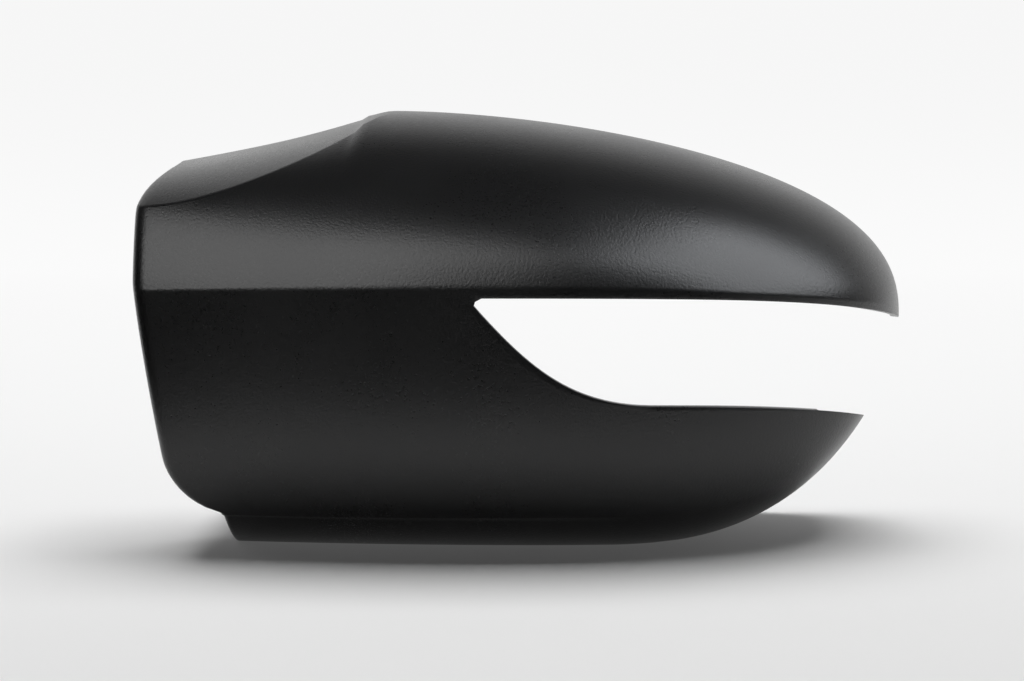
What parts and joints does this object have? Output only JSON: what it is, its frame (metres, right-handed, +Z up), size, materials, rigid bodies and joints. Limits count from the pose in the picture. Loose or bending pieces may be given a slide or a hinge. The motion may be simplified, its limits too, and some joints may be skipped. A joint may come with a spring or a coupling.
{
  "type": "wing mirror cover",
  "caption": "Black moulded shell for the front of a car's left wing mirror, with a scooped inboard top, a ridge and a slot for an indicator lamp.",
  "frame": {"origin": "centre of the bounding box in plan, on the plane of the flat underside", "axes": "+X outboard along the cover, away from the car; +Y rearwards, out of the open side; +Z up"},
  "size_m": [0.23, 0.09, 0.1255],
  "materials": {
    "black_plastic": "fine moulded grain, satin sheen"
  },
  "bodies": {
    "root": {"mirror_cover": "black_plastic"}
  },
  "joints": []
}
